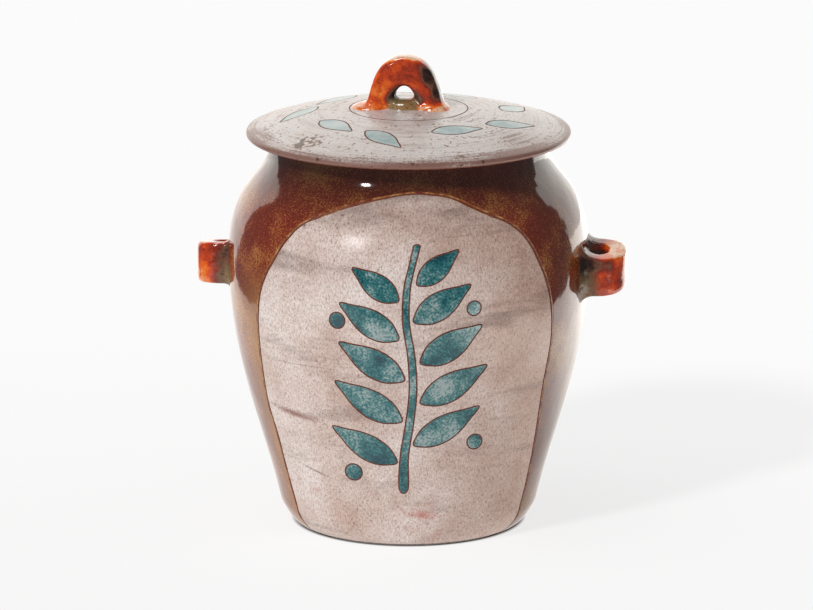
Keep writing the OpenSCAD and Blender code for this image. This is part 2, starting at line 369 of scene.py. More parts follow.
wiped = put(white_slip, "Mix", {0: 0.55, 6: woven.outputs[2], 7: smear.outputs["Color"]},
            data_type="RGBA", blend_type="MULTIPLY")
pits = put(white_slip, "ValToRGB", {"Fac": grit.outputs["Fac"]},
           stops=[(0.33, "#7a5a4c"), (0.47, "#ffffff")])
pitted = put(white_slip, "Mix", {0: 0.7, 6: wiped.outputs[2], 7: pits.outputs["Color"]},
             data_type="RGBA", blend_type="MULTIPLY")
blush = put(white_slip, "TexNoise", {"Vector": place, "Scale": 70, "Detail": 6, "Roughness": 0.75})
blush = put(white_slip, "MapRange", {"Value": blush.outputs["Fac"], "From Min": 0.55, "From Max": 0.7,
                                     "To Max": 0.6})
low = put(white_slip, "MapRange", {"Value": height, "From Min": 0.05, "From Max": 0.015})
low = put(white_slip, "Math", {0: low.outputs["Result"], 1: blush.outputs["Result"]}, operation="MULTIPLY")
blushed = put(white_slip, "Mix", {0: low.outputs[0], 6: pitted.outputs[2], 7: "#b4644c"}, data_type="RGBA")
# Painted shade: the field darkens and warms towards its right side, away from the lamp.
shade = put(white_slip, "MapRange", {"Value": along.outputs[0], "From Min": 0.02, "From Max": 0.11})
marked = put(white_slip, "Mix", {0: shade.outputs["Result"], 6: blushed.outputs[2], 7: "#e8d4c9"},
             data_type="RGBA", blend_type="MULTIPLY")
for x, z, half, wide, tilt, strength, colour in MARKS:
    near = put(white_slip, "Mapping", {"Vector": unrolled.outputs[0], "Location": (x, z, 0),
                                       "Rotation": (0, 0, tilt), "Scale": (half, wide, 1)},
               vector_type="TEXTURE")
    near = put(white_slip, "VectorMath", {0: near.outputs[0]}, operation="LENGTH").outputs["Value"]
    near = put(white_slip, "Math", {0: grit.outputs["Fac"], 1: 1.6, 2: near}, operation="MULTIPLY_ADD")
    near = put(white_slip, "MapRange", {"Value": near.outputs[0], "From Min": 1.8, "From Max": 0.9,
                                        "To Max": strength})
    marked = put(white_slip, "Mix", {0: near.outputs["Result"], 6: marked.outputs[2], 7: colour},
                 data_type="RGBA")
surface(white_slip, shader, marked.outputs[2], roughness=0.27, relief=hairs.outputs["Fac"],
        strength=0.15, depth=0.0004)

# Copper glaze laid thickly inside the drawn lines: deep teal in the middle, pale
# blue grey where it thins, glossy and slightly clouded.
teal_glaze, shader = new_material("laid_copper_glaze")
place = put(teal_glaze, "TexCoord").outputs["Object"]
pool = put(teal_glaze, "TexNoise", {"Vector": place, "Scale": 50, "Detail": 4, "Roughness": 0.6})
grain = put(teal_glaze, "TexNoise", {"Vector": place, "Scale": 800, "Detail": 2})
both = put(teal_glaze, "Math", {0: grain.outputs["Fac"], 1: 0.5, 2: pool.outputs["Fac"]},
           operation="MULTIPLY_ADD")
tone = put(teal_glaze, "ValToRGB", {"Fac": both.outputs[0]},
           stops=[(0.58, "#063e49"), (0.7, "#1b6266"), (0.8, "#4d7c7d"), (0.92, "#9aa9a8")])
surface(teal_glaze, shader, tone.outputs["Color"], roughness=0.12, ior=1.55)

jar.data.materials.append(iron_glaze)

# The white field on the front, in degrees from the front and millimetres up: from the
# middle of its top down the left side, along the foot and up the right side.
FRONT, LINE_W, OUTLINE_W = 8, 1.0, 1.35
field = [(8, 223.6), (-5, 220), (-17, 214.5), (-29.4, 204.2), (-35.5, 192), (-39.4, 180.2), (-43.5, 168),
         (-46.6, 155.5), (-48.6, 139), (-49.4, 122.8), (-50.4, 104), (-51.5, 84.5), (-50.7, 65), (-51.2, 50),
         (-51.4, 34), (-50.6, 18), (-50, 6), (-46, 1.4), (-25, 0.9), (8, 0.9), (40, 0.9), (60, 1.4), (65.5, 6),
         (66.4, 16), (66.8, 30), (65.6, 48), (63.6, 66), (61.6, 85), (60.6, 103.2), (61, 127.8), (60.2, 143),
         (58.4, 157), (55.8, 170), (53, 181), (50.8, 190), (47.6, 198.5), (43, 205.5), (36.7, 211.2),
         (25, 220.5), (16, 223.2)]
outline = flow(field, step=2)
lines = [scribe([on_wall(*p) for p in outline], OUTLINE_W)]

# The iron glaze drew back from the drawn line and broke ochre along it, 1.5 mm wide: a
# shallow groove beside the line, down both sides and round the top but not at the foot.
ochre_edge, shader = new_material("thin_iron_glaze")
place = put(ochre_edge, "TexCoord").outputs["Object"]
grain = put(ochre_edge, "TexNoise", {"Vector": place, "Scale": 150, "Detail": 4, "Roughness": 0.7})
tone = put(ochre_edge, "ValToRGB", {"Fac": grain.outputs["Fac"]},
           stops=[(0.38, "#6f2b1b"), (0.5, "#96552c"), (0.62, "#bd8f5c")])
surface(ochre_edge, shader, tone.outputs["Color"], roughness=0.12)
ARC_MM, EDGE_OUT, EDGE_R, EDGE_LIFT, EDGE_FROM = 1.9, 1.2, 2.4, 2.15, 7
edge = []
for i in range(-len(outline) // 2, len(outline) // 2):
    if outline[i][1] <= EDGE_FROM:
        continue
    a, z = outline[i]
    before, after = outline[i - 2], outline[i + 2]
    du, dz = (after[0] - before[0]) * ARC_MM, after[1] - before[1]
    long = math.hypot(du, dz)
    p = on_wall(a + dz / long * EDGE_OUT / ARC_MM, z - du / long * EDGE_OUT)
    grow = 1 + mm(EDGE_LIFT) / math.hypot(p.x, p.y)
    edge.append(Vector((p.x * grow, p.y * grow, p.z)))
carve(jar, [scribe(edge, 2 * EDGE_R, closed=False)], ochre_edge)

LEAF = [(0, 0), (0.07, 0.2), (0.22, 0.42), (0.42, 0.5), (0.62, 0.42), (0.82, 0.22), (1, 0)]


def leaf(at, length, width, angle):
    """The outline of a leaf, with its foot at a point of the flat drawing."""
    half = LEAF + [(x, -y) for x, y in LEAF[-2:0:-1]]
    c, s = math.cos(math.radians(angle)), math.sin(math.radians(angle))
    flat = [(x * length, y * width) for x, y in half]
    return [(at[0] + x * c - y * s, at[1] + x * s + y * c) for x, y in flat]


def wrap(flat):
    """A flat drawing in millimetres laid round the front of the jar."""
    return [on_wall(FRONT + math.degrees(x / wall_radius(z)), z) for x, z in flat]


# An upright branch: its middle line, then each leaf's foot, length, width and angle,
# and each berry's middle and radius.
STEM = [(-3, 40), (-2.6, 62), (0.5, 84), (2.6, 106), (1.6, 128), (-1.6, 150), (-1, 170), (2, 184), (5, 196)]
STEM_HALF, STEM_TAPER = 2.6, 0.11
stem = [(x - STEM_HALF + STEM_TAPER * i, z) for i, (x, z) in enumerate(STEM)]
stem += [(x + STEM_HALF - STEM_TAPER * i, z) for i, (x, z) in reversed(list(enumerate(STEM)))]
leaves = [((-7, 58), 46, 17, 152), ((3, 70), 47, 17, 30), ((-4, 86), 48, 18, 150), ((7, 98), 47, 18, 28),
          ((-2.5, 113), 46, 18, 151), ((7, 124), 44, 18, 30), ((-6, 139), 42, 17, 150), ((3, 150), 41, 17, 32),
          ((-6, 163), 34, 15, 146), ((5, 173), 32, 14, 38)]
berries = [(-34, 50, 5.5), (41, 70, 5), (-44, 149, 5), (40, 157, 4.5)]
seeds = [wrap([STEM[4]])[0]]
lines.append(scribe(wrap(flow(stem)), LINE_W))
for at, length, width, angle in leaves:
    a = math.radians(angle)
    lines.append(scribe(wrap(flow(leaf(at, length, width, angle))), LINE_W))
    seeds.append(wrap([(at[0] + 0.45 * length * math.cos(a) - 0.2 * width * math.sin(a),
                        at[1] + 0.45 * length * math.sin(a) + 0.2 * width * math.cos(a))])[0])
for x, z, r in berries:
    turns = [math.radians(t) for t in range(0, 360, 45)]
    lines.append(scribe(wrap(flow([(x + r * math.cos(t), z + r * math.sin(t)) for t in turns])), LINE_W))
    seeds.append(wrap([(x, z)])[0])

carve(jar, lines, bare_clay)
finish_patch(jar, on_wall(FRONT, 30), white_slip)
for seed in seeds:
    finish_patch(jar, seed, teal_glaze)
bpy.ops.object.shade_smooth_by_angle(angle=math.radians(35))

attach(jar, "jar")
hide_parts("jar_body")

# ---------------------------------------------------------------- side handles
# Two straps of clay pulled from a lump and bent into loops. Their flared roots
# are scored, luted to the wall and thumbed out, and glazed orange over a dark slip.
ROOT_X, STRAP_X, LOOP_W, STRAP_H, STRAP_T, BEND_T, STRAP_EDGE = 98, 119, 34, 25, 8, 10.5, 3.9
ROOT_N, BEND_N = 9, 12


def strap_stations(reach, flare, rise_start, rise_end):
    """Middle, thickness, height and lift of the strap at each step from root to root."""
    hw = LOOP_W / 2
    spread = hw + flare
    start = (ROOT_X - 2, spread + 11)
    out = [start] + bezier([start, (ROOT_X + 9, spread - 7), (ROOT_X + 13, hw + 2), (STRAP_X, hw)], ROOT_N)
    out += bezier([(STRAP_X, hw), (reach - 5, hw), (reach, hw - 6), (reach, 0)], BEND_N)
    hw -= STRAP_T
    mid, tip, start = STRAP_X - 7, reach - BEND_T, (ROOT_X, hw + 3)
    hole = [start] + bezier([start, (ROOT_X + 5, hw + 1.5), (ROOT_X + 9, hw), (mid, hw)], ROOT_N)
    hole += bezier([(mid, hw), (STRAP_X, hw - 0.5), (tip, hw - 5), (tip, 0)], BEND_N)
    halves = []
    for sign, rise in ((1, rise_start), (-1, rise_end)):
        half = []
        for i, (p, q) in enumerate(zip(out, hole)):
            k = min(max((i - 3) / 5, 0), 1)
            lift = rise * (1 - k * k * (3 - 2 * k))
            middle = ((p[0] + q[0]) / 2, sign * (p[1] + q[1]) / 2)
            half.append((middle, math.hypot(p[0] - q[0], p[1] - q[1]), STRAP_H + lift, lift / 2))
        halves.append(half)
    return halves[0] + halves[1][-2::-1]


def pull(name, stations, edge):
    """A bar of clay extruded from section to section, then bent along the middles of the sections."""
    along = [0]
    for a, b in zip(stations, stations[1:]):
        along.append(along[-1] + math.dist(a[0], b[0]))
    _, t, h, lift = stations[0]
    bpy.ops.mesh.primitive_plane_add(size=1, rotation=(0, math.pi / 2, 0))
    bar = bpy.context.active_object
    bar.name = bar.data.name = name
    bpy.ops.object.transform_apply(rotation=True)
    bpy.ops.object.mode_set(mode="EDIT")
    bpy.ops.mesh.select_mode(type="FACE")
    bpy.ops.mesh.select_all(action="SELECT")
    bpy.ops.transform.resize(value=(1, mm(t), mm(h)))
    bpy.ops.transform.translate(value=mm(0, 0, lift))
    bpy.ops.mesh.bevel(offset=mm(edge), segments=4, affect="VERTICES")
    for i in range(1, len(stations)):
        _, t1, h1, lift1 = stations[i]
        step = mm(along[i] - along[i - 1], 0, lift1 - lift)
        bpy.ops.mesh.extrude_region_move(TRANSFORM_OT_translate={"value": step})
        bpy.ops.transform.resize(value=(1, t1 / t, h1 / h), center_override=mm(along[i], 0, lift1))
        t, h, lift = t1, h1, lift1
    bpy.ops.mesh.select_all(action="SELECT")
    bpy.ops.mesh.normals_make_consistent(inside=False)
    bpy.ops.object.mode_set(mode="OBJECT")

    bpy.ops.curve.primitive_bezier_curve_add()
    path = bpy.context.active_object
    path.data.splines.clear()
    spline = path.data.splines.new("BEZIER")
    spline.bezier_points.add(len(stations) - 1)
    for knot, station in zip(spline.bezier_points, stations):
        knot.co = mm(*station[0], 0)
        knot.handle_left_type = knot.handle_right_type = "AUTO"
    path.data.resolution_u = 12
    bend = bar.modifiers.new("bent", "CURVE")
    bend.object = path
    smooth = bar.modifiers.new("smoothed by hand", "SUBSURF")
    smooth.levels = smooth.render_levels = 2
    apply_modifiers(bar)
    bpy.data.objects.remove(path)
    return bar


def knead(piece, size, depth):
    """Uneven pressure of the fingers: slow swells of that size and depth over the surface."""
    swell = bpy.data.textures.new(piece.name + "_swell", "CLOUDS")
    swell.noise_scale = mm(size)
    press = piece.modifiers.new("pressed", "DISPLACE")
    press.texture, press.texture_coords = swell, "LOCAL"
    press.strength, press.mid_level = mm(depth), 0.5
    apply_modifiers(piece)


# Orange glaze over an iron slip, dipped and gloss-fired: pale peach and bright orange
# where the fire and shade value that is brushed on each piece is high, red to nearly black
# where the glaze broke over the iron, and olive where it pooled at the roots. On the arch
# that value also holds painted shade inside the arch.
orange_glaze, shader = new_material("dipped_orange_glaze")
place = put(orange_glaze, "TexCoord").outputs["Object"]
fire_and_shade = put(orange_glaze, "Attribute", attribute_name="fire_and_shade").outputs["Fac"]
pool = put(orange_glaze, "TexNoise", {"Vector": place, "Scale": 110, "Detail": 5, "Roughness": 0.65})
broken = put(orange_glaze, "MapRange", {"Value": pool.outputs["Fac"], "From Min": 0.3, "From Max": 0.7,
                                        "To Min": -0.22, "To Max": 0.22})
heat = put(orange_glaze, "Math", {0: fire_and_shade, 1: broken.outputs["Result"]}, operation="ADD")
tone = put(orange_glaze, "ValToRGB", {"Fac": heat.outputs[0]},
           stops=[(0.0, "#22120f"), (0.14, "#4e2c20"), (0.28, "#76503f"), (0.42, "#7e2d1e"), (0.56, "#a8371d"),
                  (0.7, "#cf481b"), (0.84, "#ec6a1e"), (0.93, "#f08a48"), (1.0, "#f5c3a0")])
olive = put(orange_glaze, "Attribute", attribute_name="olive").outputs["Fac"]
tone = put(orange_glaze, "Mix", {0: olive, 6: tone.outputs["Color"], 7: "#8a764e"}, data_type="RGBA")
speck = put(orange_glaze, "TexNoise", {"Vector": place, "Scale": 520, "Detail": 3, "Roughness": 0.7})
spots = put(orange_glaze, "ValToRGB", {"Fac": speck.outputs["Fac"]},
            stops=[(0.33, "#5a2a20"), (0.45, "#ffffff")])
spotted = put(orange_glaze, "Mix", {0: 0.6, 6: tone.outputs[2], 7: spots.outputs["Color"]},
              data_type="RGBA", blend_type="MULTIPLY")
surface(orange_glaze, shader, spotted.outputs[2], roughness=0.1, relief=pool.outputs["Fac"],
        strength=0.3, depth=0.001)


def paint(piece, name, shade):
    """Brushes a value on the piece: shade gives it for a place in millimetres and how far it faces up."""
    layer = piece.data.attributes.new(name, "FLOAT", "POINT")
    values = [min(max(shade(*(v.co * 1000), v.normal.z), 0), 1) for v in piece.data.vertices]
    layer.data.foreach_set("value", values)


def ramp(value, low, high):
    """0 below low, 1 above high and a straight slope between them."""
    return min(max((value - low) / (high - low), 0), 1)


def lute(piece, ground, skin, voxel, fillet):
    """Joins the clay to the ground, fills the inner corners by thumbing, and cuts along the skin."""
    join = piece.modifiers.new("joined", "BOOLEAN")
    join.operation, join.object, join.solver = "UNION", ground, "MANIFOLD"
    for way in (1, -1):
        wet = piece.modifiers.new("wet clay", "REMESH")
        wet.mode, wet.voxel_size = "VOXEL", mm(voxel)
        swell = piece.modifiers.new("filled", "DISPLACE")
        swell.strength, swell.mid_level = way * mm(fillet), 0
    thumb = piece.modifiers.new("thumbed", "SMOOTH")
    thumb.factor, thumb.iterations = 0.5, 12
    cut = piece.modifiers.new("cut", "BOOLEAN")
    cut.operation, cut.object, cut.solver = "DIFFERENCE", skin, "MANIFOLD"
    apply_modifiers(piece)
    bpy.ops.object.shade_smooth_by_angle(angle=math.radians(50))


def lump(solid, middle, size):
    """The part of a solid inside a box about a point."""
    bpy.ops.mesh.primitive_cube_add(size=1, location=mm(*middle), scale=mm(*size))
    box = bpy.context.active_object
    bpy.ops.object.transform_apply(location=True, scale=True)
    keep = box.modifiers.new("kept", "BOOLEAN")
    keep.operation, keep.object, keep.solver = "INTERSECT", solid, "MANIFOLD"
    apply_modifiers(box)
    return box


# The strap joins a core 0.9 mm inside the wall's face and is cut off 0.3 mm inside it.
SUNK, SKIN = 0.9, 0.3
core = throw("core", [(0, 1)] + [(r - SUNK, z) for r, z in outside if z > 1] + [(0, NECK[1])], turns=192)
skin = throw("skin", [(0, 1)] + [(r - SKIN, z) for r, z in outside if z > 1] + [(0, NECK[1])], turns=192)


def left_fire(x, y, z, up):
    """Bright outside and on the rims, redder upwards, brown towards the wall."""
    out = ramp(math.hypot(x, y), 115, 124)
    return 0.28 + out * (0.7 - 0.34 * ramp(z, 146, 168)) + 0.3 * ramp(up, 0.5, 0.9)


def left_olive(x, y, z, up):
    """Pooled low on the roots."""
    return 0.7 * (1 - ramp(math.hypot(x, y), 112, 118)) * (1 - ramp(z, 154, 164))


def right_fire(x, y, z, up):
    """Red outside, bright at the outer rim, with a dark band under the rim."""
    out = ramp(math.hypot(x, y), 112, 121)
    top = ramp(z, 164, 171) * ramp(x, 122, 131)
    band = ramp(z, 161, 165) * (1 - ramp(z, 170, 172)) * (1 - ramp(x, 126, 130))
    return 0.25 + out * 0.32 + 0.36 * top - 0.3 * band + 0.3 * out * ramp(up, 0.5, 0.9)


def right_olive(x, y, z, up):
    """A pool on the roots, clear of the wall."""
    r = math.hypot(x, y)
    return 0.55 * ramp(r, 108, 112) * (1 - ramp(r, 116, 123)) * (1 - ramp(z, 156, 164))


# Each loop leans by its tilt, and its roots draw together towards their upper edge.
LEAN_FROM, LEAN_TO, GATHER_FROM, GATHER = 18, 38, 19, 0.35
for name, node, reach, z, tall, tilt, flare, rises, fillet, turn, fire_and_shade, olive in (
        ("left_loop", "left_handle", 130.5, 157.4, 1.04, 0.16, 1, (1, 1), 2, 180, left_fire, left_olive),
        ("right_loop", "right_handle", 134, 161.3, 0.93, 0.17, 5, (2, 14), 6, 0, right_fire, right_olive)):
    loop = pull(name, strap_stations(reach, flare, *rises), STRAP_EDGE)
    for v in loop.data.vertices:
        v.co.z *= tall
        v.co.z += tilt * v.co.y * (1 - ramp(abs(v.co.y), mm(LEAN_FROM), mm(LEAN_TO)))
        over = max(abs(v.co.y) - mm(GATHER_FROM), 0)
        v.co.y -= math.copysign(over * GATHER * ramp(v.co.z, -mm(STRAP_H / 2), mm(STRAP_H)), v.co.y)
    loop.matrix_world = Matrix.Rotation(math.radians(turn), 4, "Z") @ Matrix.Translation(mm(0, 0, z))
    bpy.ops.object.transform_apply(location=True, rotation=True)
    wall = lump(core, (-110 if turn else 110, 0, z + 4), (44, 110, 66))
    lute(loop, wall, skin, voxel=0.8, fillet=fillet)
    knead(loop, size=14, depth=0.5)
    paint(loop, "fire_and_shade", fire_and_shade)
    paint(loop, "olive", olive)
    loop.data.materials.clear()
    loop.data.materials.append(orange_glaze)
    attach(loop, "jar")
    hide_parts(node)
    bpy.data.objects.remove(wall)
bpy.data.objects.remove(core)
bpy.data.objects.remove(skin)


# ---------------------------------------------------------------- lid
# A thrown saucer of red earthenware with a rounded lip. Its top is brushed with
# white slip on the turning wheel, and a drawn wreath is filled with copper glaze.
LID_R, LIP_R, LID_Z, DOME_Z, HOLLOW_Z, DOME_SLOPE, HOLLOW_R = 99, 2, 240.3, 258, 251, 18.5, 70.5
LIP = (LID_R - LIP_R, LID_Z + LIP_R)
slope = math.radians(DOME_SLOPE)
lip_end = (LIP[0] + LIP_R * math.sin(slope), LIP[1] + LIP_R * math.cos(slope))
pull_in = 0.37 * LID_R
dome = bezier([lip_end, (lip_end[0] - pull_in * math.cos(slope), lip_end[1] + pull_in * math.sin(slope)),
               (0.4 * LID_R, DOME_Z), (0, DOME_Z)], 34)
hollow = bezier([(0, HOLLOW_Z), (0.5 * HOLLOW_R, HOLLOW_Z), (0.7 * HOLLOW_R, (LID_Z + HOLLOW_Z) / 2),
                 (HOLLOW_R, LID_Z)], 12)
lid = throw("lid", [(0, HOLLOW_Z)] + hollow + arc(LIP, LIP_R, -90, 90 - DOME_SLOPE, 8) + dome)


def on_dome(x, y):
    """The point of the lid's top above a point of its plan, in millimetres."""
    r = math.hypot(x, y)
    return mm(x, y, float(np.interp(r, [p[0] for p in dome[::-1]], [p[1] for p in dome[::-1]])))


def on_circle(radius, degrees):
    """The point of a circle about the axis at an angle from the X axis."""
    return (radius * math.cos(math.radians(degrees)), radius * math.sin(math.radians(degrees)))


WREATH_N, WREATH_R, WREATH_LEAF, INNER_RING_R, INNER_RING_W = 9, 58, (33, 14), 36, 0.9
wreath, seeds = [], []
for i in range(WREATH_N):
    a = 360 / WREATH_N * i + 12
    outline = leaf(on_circle(WREATH_R, a), *WREATH_LEAF, a + 78 + (22 if i % 2 else -14))
    wreath.append(scribe([on_dome(*p) for p in flow(outline)], LINE_W))
    seeds.append(on_dome(*(sum(p[k] for p in outline) / len(outline) for k in (0, 1))))
ring = [on_circle(INNER_RING_R, t) for t in range(0, 360, 12)]
wreath.append(scribe([on_dome(*p) for p in flow(ring)], INNER_RING_W))
carve(lid, wreath, bare_clay)

# White slip banded on with a wide brush while the wheel turned: long rings of
# streaks, worn to red clay at the lip and in one stroke on the right, with small pits
# and, at the front left, a patch of burst blisters, ochre with dark middles.
STROKE_AT, BLISTER_AT = (80, -46, 246), (-52, -65, 246)
lid_slip, shader = new_material("wheel_brushed_white_slip")
place = put(lid_slip, "TexCoord").outputs["Object"]
part = put(lid_slip, "SeparateXYZ", {"Vector": place})
flat = put(lid_slip, "CombineXYZ", {"X": part.outputs["X"], "Y": part.outputs["Y"]})
reach = put(lid_slip, "VectorMath", {0: flat.outputs[0]}, operation="LENGTH").outputs["Value"]
facing = put(lid_slip, "VectorMath", {0: flat.outputs[0]}, operation="NORMALIZE").outputs["Vector"]
facing = put(lid_slip, "VectorMath", {0: facing, "Scale": 1.6}, operation="SCALE").outputs["Vector"]
rings = put(lid_slip, "Math", {0: reach, 1: 420}, operation="MULTIPLY")
around = put(lid_slip, "TexNoise", {"Vector": facing, "W": rings.outputs[0], "Scale": 1.0, "Detail": 4,
                                    "Roughness": 0.6}, noise_dimensions="4D")
cloud = put(lid_slip, "TexNoise", {"Vector": place, "Scale": 22, "Detail": 5, "Roughness": 0.6})
grit = put(lid_slip, "TexNoise", {"Vector": place, "Scale": 650, "Detail": 3, "Roughness": 0.8})
base = put(lid_slip, "ValToRGB", {"Fac": cloud.outputs["Fac"]},
           stops=[(0.35, "#cebfb6"), (0.5, "#dfd6d1"), (0.68, "#ece7e4")])
streak = put(lid_slip, "ValToRGB", {"Fac": around.outputs["Fac"]},
             stops=[(0.34, "#bba99f"), (0.58, "#ffffff")])
brushed = put(lid_slip, "Mix", {0: 0.6, 6: base.outputs["Color"], 7: streak.outputs["Color"]},
              data_type="RGBA", blend_type="MULTIPLY")
edge = put(lid_slip, "MapRange", {"Value": reach, "From Min": 0.089, "From Max": 0.0985, "To Max": 0.3})
stroke = put(lid_slip, "VectorMath", {0: place, 1: mm(*STROKE_AT)}, operation="DISTANCE").outputs["Value"]
stroke = put(lid_slip, "MapRange", {"Value": stroke, "From Min": 0.034, "From Max": 0.012, "To Max": 0.16})
worn = put(lid_slip, "Math", {0: around.outputs["Fac"], 1: edge.outputs["Result"]}, operation="ADD")
worn = put(lid_slip, "Math", {0: worn.outputs[0], 1: stroke.outputs["Result"]}, operation="ADD")
for patchy in (grit, cloud):
    worn = put(lid_slip, "Math", {0: patchy.outputs["Fac"], 1: 0.7, 2: worn.outputs[0]},
               operation="MULTIPLY_ADD")
worn = put(lid_slip, "MapRange", {"Value": worn.outputs[0], "From Min": 1.3, "From Max": 1.46,
                                  "To Max": 0.9})
lipped = put(lid_slip, "Mix", {0: worn.outputs["Result"], 6: brushed.outputs[2], 7: "#774636"},
             data_type="RGBA")
blister = put(lid_slip, "VectorMath", {0: place, 1: mm(*BLISTER_AT)}, operation="DISTANCE").outputs["Value"]
blister = put(lid_slip, "MapRange", {"Value": blister, "From Min": 0.013, "From Max": 0.007,
                                     "To Max": 0.17})
pits = put(lid_slip, "ValToRGB", {"Fac": grit.outputs["Fac"]},
           stops=[(0.3, "#6f4a24"), (0.41, "#ffffff")])
pitted = put(lid_slip, "Mix", {0: 0.85, 6: lipped.outputs[2], 7: pits.outputs["Color"]},
             data_type="RGBA", blend_type="MULTIPLY")
crater = put(lid_slip, "TexNoise", {"Vector": place, "Scale": 330, "Detail": 2})
crater = put(lid_slip, "Math", {0: crater.outputs["Fac"], 1: blister.outputs["Result"]},
             operation="SUBTRACT")
burst = put(lid_slip, "ValToRGB", {"Fac": crater.outputs[0]},
            stops=[(0.27, "#4a2408"), (0.32, "#b87c38"), (0.37, "#ffffff")])
burst = put(lid_slip, "Mix", {0: 0.9, 6: pitted.outputs[2], 7: burst.outputs["Color"]},
            data_type="RGBA", blend_type="MULTIPLY")
surface(lid_slip, shader, burst.outputs[2], roughness=0.35, relief=around.outputs["Fac"],
        strength=0.1, depth=0.0004)

# The copper glaze was only washed over the lid: pale blue grey, the slip's white through it.
pale_wash, shader = new_material("washed_copper_glaze")
place = put(pale_wash, "TexCoord").outputs["Object"]
pool = put(pale_wash, "TexNoise", {"Vector": place, "Scale": 60, "Detail": 4, "Roughness": 0.65})
tone = put(pale_wash, "ValToRGB", {"Fac": pool.outputs["Fac"]},
           stops=[(0.32, "#5f8686"), (0.46, "#8fa7a6"), (0.62, "#b3c0be")])
surface(pale_wash, shader, tone.outputs["Color"], roughness=0.3)

finish_patch(lid, on_dome(0, -60), lid_slip)
finish_patch(lid, on_dome(0, 0), lid_slip)
for seed in seeds:
    finish_patch(lid, seed, pale_wash)
seat = lid.data.materials.find(bare_clay.name)
for face in lid.data.polygons:
    if face.normal.z < -0.5:
        face.material_index = seat
bpy.ops.object.shade_smooth_by_angle(angle=math.radians(35))
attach(lid, "lid")
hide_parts("lid_plate")

# The locating ring under the lid is thrown with it and left bare, so that it
# doesn't stick to the jar in the kiln.
FLANGE_R, FLANGE_Z, FLANGE_EDGE, FLANGE_MID = 76, 230.1, 1.8, 236
ring = [(FLANGE_R, LID_Z), (HOLLOW_R, LID_Z), (HOLLOW_R, FLANGE_MID)]
ring += arc((HOLLOW_R + FLANGE_EDGE, FLANGE_Z), FLANGE_EDGE, 180, 270, 4)
ring += arc((FLANGE_R - FLANGE_EDGE, FLANGE_Z), FLANGE_EDGE, 270, 360, 4)
ring += [(FLANGE_R, FLANGE_MID), (FLANGE_R, LID_Z)]
flange = throw("locating_ring", ring, turns=128)
knead(flange, size=12, depth=0.15)
bpy.ops.object.shade_smooth_by_angle(angle=math.radians(35))
flange.data.materials.append(bare_clay)
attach(flange, "lid")
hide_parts("lid_flange")

# The grip is a thick roll of clay bent into an arch. Both ends are spread on the
# lid with a wet thumb, and the orange glaze has run down and pooled at the feet.
ARCH_H, ARCH_SPAN, ARCH_X, CROWN_T, LEG_T, ROLL_W, ROLL_EDGE, ARCH_FLARE = 32, 32, -2, 18.5, 15.5, 15, 7.2, 4
crown_z = DOME_Z + ARCH_H - CROWN_T / 2
start = (-ARCH_SPAN / 2 - 0.5, DOME_Z - 5)
half = [start] + bezier([start, (start[0] + 2, start[1] + 15), (-ARCH_SPAN * 0.34, crown_z),
                         (0, crown_z)], 20)
stations = []
for x, z in half + [(-x, z) for x, z in half[-2::-1]]:
    spread = ARCH_FLARE * max(0, 1 - (z - DOME_Z + 3) / 8) ** 2
    thick = LEG_T + (CROWN_T - LEG_T) * ramp(z - DOME_Z, 12, 22)
    stations.append(((x, z), thick + 2 * spread, ROLL_W + 2 * spread, 0))
arch = pull("lid_arch", stations, ROLL_EDGE)
arch.matrix_world = Matrix.Translation(mm(ARCH_X, 0, 0)) @ Matrix.Rotation(math.pi / 2, 4, "X")
bpy.ops.object.transform_apply(location=True, rotation=True)
pads = [((-22, -1, 257.4), (13, 12, 2.8)), ((16, -1, 257.8), (9.5, 11, 3.2)), ((-2, -1, 258), (13, 10, 5.5))]
for middle, size in pads:
    bpy.ops.mesh.primitive_uv_sphere_add(segments=32, ring_count=16, radius=1, location=mm(*middle),
                                         scale=mm(*size))
    pad = bpy.context.active_object
    bpy.ops.object.transform_apply(location=True, scale=True)
    press = arch.modifiers.new("padded", "BOOLEAN")
    press.operation, press.object, press.solver = "UNION", pad, "MANIFOLD"
    apply_modifiers(arch)
    bpy.data.objects.remove(pad)
under = [(0, LID_Z), (LID_R - 3, LID_Z)]
core = throw("core", under + [(r, z - SUNK) for r, z in dome], turns=128)
skin = throw("skin", under + [(r, z - SKIN) for r, z in dome], turns=128)
ground = lump(core, (ARCH_X, 0, DOME_Z), (70, 44, 12))
lute(arch, ground, skin, voxel=0.6, fillet=1.5)
knead(arch, size=11, depth=0.7)
for tool in (core, skin, ground):
    bpy.data.objects.remove(tool)


def arch_fire_and_shade(x, y, z, facing_up):
    """Bright at the feet and on the left leg, redder over the crown and dark on the right, with painted shade
    inside the arch, darkest on its left face.
    """
    u, up = x - ARCH_X, z - DOME_Z
    from_hole = math.hypot(u, up - 3)
    inner = 1 - ramp(from_hole, 9.5, 13)
    value = 0.78 - 0.22 * ramp(up, 16, 26) - 0.2 * ramp(u, 4, 12)
    # Painted shade: the inside of the arch is darkened where shadow falls, more on the left face than on the
    # lit right face.
    value -= inner * (0.62 if u < 0 else 0.36)
    streak = ramp(u, 9, 13) * ramp(from_hole, 17, 20) * ramp(up, 4, 8) * (1 - ramp(up, 24, 28))
    value -= 0.42 * streak
    value += 0.5 * ramp(facing_up, 0.45, 0.9) * ramp(up, 8, 14)
    foot = 1 - ramp(up, 1.5, 4.5)
    return value * (1 - foot) + foot * 0.92


def arch_olive(x, y, z, facing_up):
    """The pool on the lid between the feet."""
    u, up = x - ARCH_X, z - DOME_Z
    return 0.9 * (1 - ramp(up, 4, 6.5)) * (1 - ramp(abs(u + 0.5), 8, 10.5))


paint(arch, "fire_and_shade", arch_fire_and_shade)
paint(arch, "olive", arch_olive)
arch.data.materials.clear()
arch.data.materials.append(orange_glaze)
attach(arch, "lid")
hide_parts("lid_handle")


